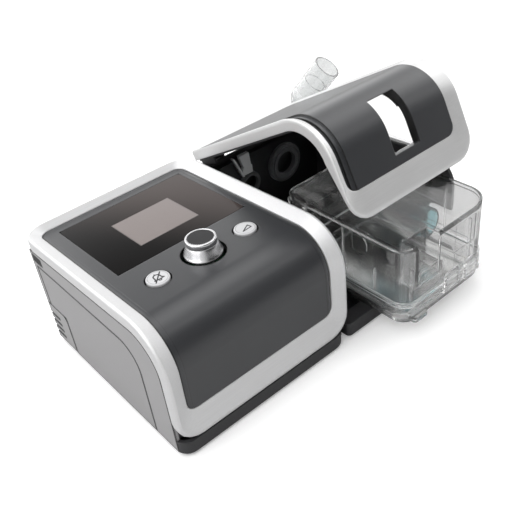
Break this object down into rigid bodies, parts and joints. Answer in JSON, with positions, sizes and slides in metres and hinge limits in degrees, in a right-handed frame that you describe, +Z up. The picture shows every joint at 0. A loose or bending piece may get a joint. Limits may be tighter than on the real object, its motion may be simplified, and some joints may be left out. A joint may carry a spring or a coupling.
{
  "type": "bilevel pap machine",
  "caption": "Bilevel breathing machine with sloped display panel, control knob and push buttons, docked to a heated humidifier with raised lid and sliding clear water chamber.",
  "frame": {"origin": "middle of the outer box in plan, at the underside of the rubber feet", "axes": "+X from the main unit towards the humidifier, +Y from the front to the back, +Z up"},
  "size_m": [0.3284, 0.2438, 0.1723],
  "materials": {
    "silver": "satin brushed silver paint",
    "panel": "soft satin charcoal",
    "lens": "polished black",
    "lcd": "dark taupe grey screen, switched off",
    "grey_shell": "fine-grained mid grey",
    "grey_cover": "fine-grained mid grey",
    "dark_shell": "fine-grained near black",
    "inner_black": "matte black",
    "pale_plastic": "pale grey",
    "knob_silver": "polished",
    "button": "silver-white lacquer",
    "clear": "clear polished plastic",
    "smoke_clear": "clear window plastic",
    "teal": "translucent teal plastic",
    "silicone": "soft black silicone",
    "clear_silicone": "soft translucent silicone",
    "foot_rubber": "matte",
    "steel": "plain zinc-plated",
    "alu": "machined",
    "board": "green solder mask",
    "foam": "open-cell foam",
    "filter": "white filter felt",
    "motor": "dark plated can"
  },
  "bodies": {
    "casing": {"main_base": "dark_shell", "side_cover_left": "grey_shell", "left_side_panel": "grey_cover", "side_cover_right": "dark_shell", "rear_cover": "dark_shell", "upper_chassis": "dark_shell", "top_frame": "silver", "top_panel": "panel", "display_lens": "lens", "lcd_module": "lcd", "main_board": "board", "encoder": "steel", "button_switches": "inner_black", "blower_housing": "pale_plastic", "blower_cover": "pale_plastic", "motor": "motor", "muffler_foam": "foam", "dc_inlet": "inner_black", "outlet_seal": "silicone", "dock_connector": "inner_black", "main_feet": "foot_rubber", "main_screws": "steel", "humidifier_base": "dark_shell", "bay_deck": "inner_black", "port_block": "inner_black", "inlet_duct": "inner_black", "inlet_guard": "pale_plastic", "port_ring": "silicone", "inlet_seal": "silicone", "heater_springs": "steel", "heater_board": "board", "hinge_pins": "steel", "outlet_duct": "inner_black", "elbow_seal": "clear_silicone", "humidifier_feet": "foot_rubber", "humidifier_screws": "steel"},
    "filter_door": {"filter_cover": "grey_shell", "air_filter": "filter"},
    "card_flap": {"card_door": "foot_rubber"},
    "knob_shaft": {"encoder_plunger": "pale_plastic"},
    "knob_top": {"knob": "knob_silver", "knob_cap": "lens"},
    "mute_key": {"mute_button": "button"},
    "ramp_key": {"ramp_button": "button"},
    "blower_wheel": {"impeller": "pale_plastic"},
    "heater": {"heater_plate": "alu"},
    "lid": {"lid_frame": "silver", "lid_panel": "panel", "lid_window": "smoke_clear", "lid_liner": "inner_black"},
    "water_chamber": {"chamber_base": "clear", "chamber_plate": "alu", "chamber_seal": "clear_silicone", "chamber_cover": "clear", "air_tube": "teal"},
    "clip_left": {"chamber_clip_left": "clear"},
    "clip_right": {"chamber_clip_right": "clear"},
    "elbow": {"outlet_elbow": "clear"}
  },
  "joints": [
    {"name": "filter_cover_pull", "type": "slide", "parent": "casing", "child": "filter_door", "axis": [-1, 0, 0], "range_m": [0, 0.04]},
    {"name": "card_flap_hinge", "type": "hinge", "parent": "casing", "child": "card_flap", "pos_m": [-0.16399, 0.07917, 0.0818], "axis": [0, -1, 0], "range_deg": [0, 95], "stiffness_Nm_per_rad": 0.0005, "springref_deg": -11.46},
    {"name": "knob_press", "type": "slide", "parent": "casing", "child": "knob_shaft", "axis": [0, -0.0436, -0.999], "range_m": [0, 0.0012], "stiffness_N_per_m": 1500, "springref_m": -0.0005},
    {"name": "knob_turn", "type": "hinge", "parent": "knob_shaft", "child": "knob_top", "pos_m": [-0.08469, -0.02533, 0.09909], "axis": [0, 0.0436, 0.999], "continuous": true},
    {"name": "mute_press", "type": "slide", "parent": "casing", "child": "mute_key", "axis": [0, -0.0436, -0.999], "range_m": [0, 0.0012], "stiffness_N_per_m": 800, "springref_m": -0.0005},
    {"name": "ramp_press", "type": "slide", "parent": "casing", "child": "ramp_key", "axis": [0, -0.0436, -0.999], "range_m": [0, 0.0012], "stiffness_N_per_m": 800, "springref_m": -0.0005},
    {"name": "impeller_spin", "type": "hinge", "parent": "casing", "child": "blower_wheel", "pos_m": [-0.09219, 0.03168, 0.0525], "axis": [0, 0, 1], "continuous": true},
    {"name": "heater_travel", "type": "slide", "parent": "casing", "child": "heater", "axis": [0, 0, -1], "range_m": [0, 0.0015], "stiffness_N_per_m": 4000, "springref_m": -0.0005, "deforming": ["heater_springs"]},
    {"name": "lid_hinge", "type": "hinge", "parent": "casing", "child": "lid", "pos_m": [0.06031, 0.09717, 0.0865], "axis": [-1, 0, 0], "range_deg": [-26, 10]},
    {"name": "chamber_slide", "type": "slide", "parent": "casing", "child": "water_chamber", "axis": [0, 1, 0], "range_m": [-0.0251, 0.0642]},
    {"name": "left_clip_hinge", "type": "hinge", "parent": "water_chamber", "child": "clip_left", "pos_m": [0.07031, -0.12012, 0.027], "axis": [1, 0, 0], "range_deg": [0, 60]},
    {"name": "right_clip_hinge", "type": "hinge", "parent": "water_chamber", "child": "clip_right", "pos_m": [0.09431, -0.12012, 0.027], "axis": [1, 0, 0], "range_deg": [0, 60]},
    {"name": "elbow_swivel", "type": "hinge", "parent": "casing", "child": "elbow", "pos_m": [0.14001, 0.10867, 0.0785], "axis": [0, 0, 1], "range_deg": [-5, 170]}
  ],
  "couplings": [
    {"joint": "chamber_slide", "follows": "lid_hinge", "m_per_rad": -0.14104}
  ]
}
